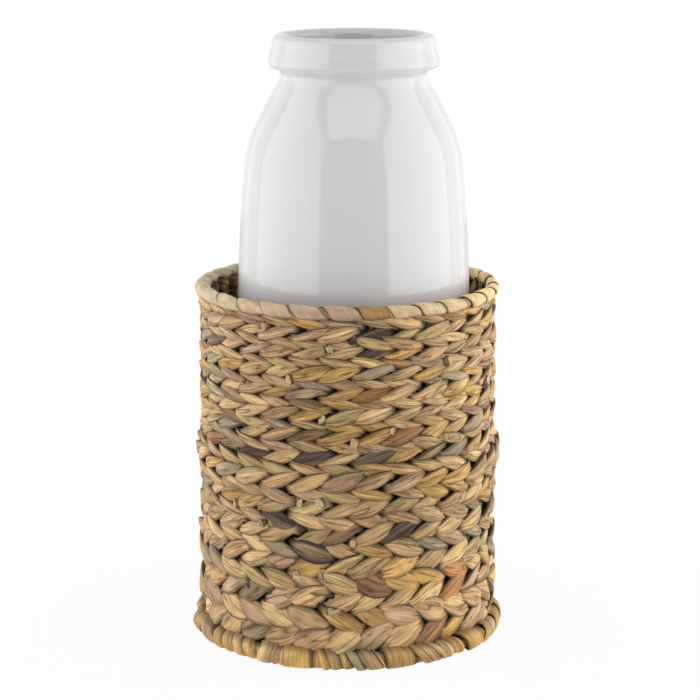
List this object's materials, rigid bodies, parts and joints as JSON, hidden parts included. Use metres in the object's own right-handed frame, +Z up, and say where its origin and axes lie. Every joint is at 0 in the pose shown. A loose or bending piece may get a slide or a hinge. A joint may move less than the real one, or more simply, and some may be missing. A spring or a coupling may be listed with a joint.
{
  "type": "vase in a woven basket",
  "caption": "Glossy white ceramic vase with a collared mouth, standing loose in a round basket of twined plant stems with a strip-wound rim and foot.",
  "frame": {"origin": "on the floor, at the centre of the basket's foot", "axes": "+Z up along the basket's axis, -Y the side that the picture shows, +X to its right"},
  "size_m": [0.197, 0.1974, 0.3792],
  "materials": {
    "glaze": "glossy white glaze",
    "cane": "plain cane, pale and slightly green",
    "strip": "flat dried strip, straw to yellow ochre, satin",
    "stems": "dried flattened stems, straw, tan and brown, creased along the fibre"
  },
  "bodies": {
    "basket": {"stake_frame": "cane", "rim_wrap": "strip", "foot_wrap": "strip", "weave_course_01": "stems", "weave_course_02": "stems", "weave_course_03": "stems", "weave_course_04": "stems", "weave_course_05": "stems", "weave_course_06": "stems", "weave_course_07": "stems", "weave_course_08": "stems", "weave_course_09": "stems", "weave_course_10": "stems", "weave_course_11": "stems", "weave_course_12": "stems", "weave_course_13": "stems", "weave_course_14": "stems", "weave_course_15": "stems", "weave_course_16": "stems", "weave_course_17": "stems", "weave_course_18": "stems", "weave_course_19": "stems", "weave_course_20": "stems", "weave_course_21": "stems", "weave_course_22": "stems", "weave_course_23": "stems", "weave_course_24": "stems", "weave_course_25": "stems", "weave_course_26": "stems", "base_round_1": "stems", "base_round_2": "stems", "base_round_3": "stems", "base_round_4": "stems", "base_round_5": "stems", "base_round_6": "stems"},
    "vase": {"vase": "glaze"}
  },
  "joints": [
    {"name": "vase_lift", "type": "slide", "parent": "basket", "child": "vase", "axis": [0, 0, 1], "range_m": [0, 0.24]}
  ]
}
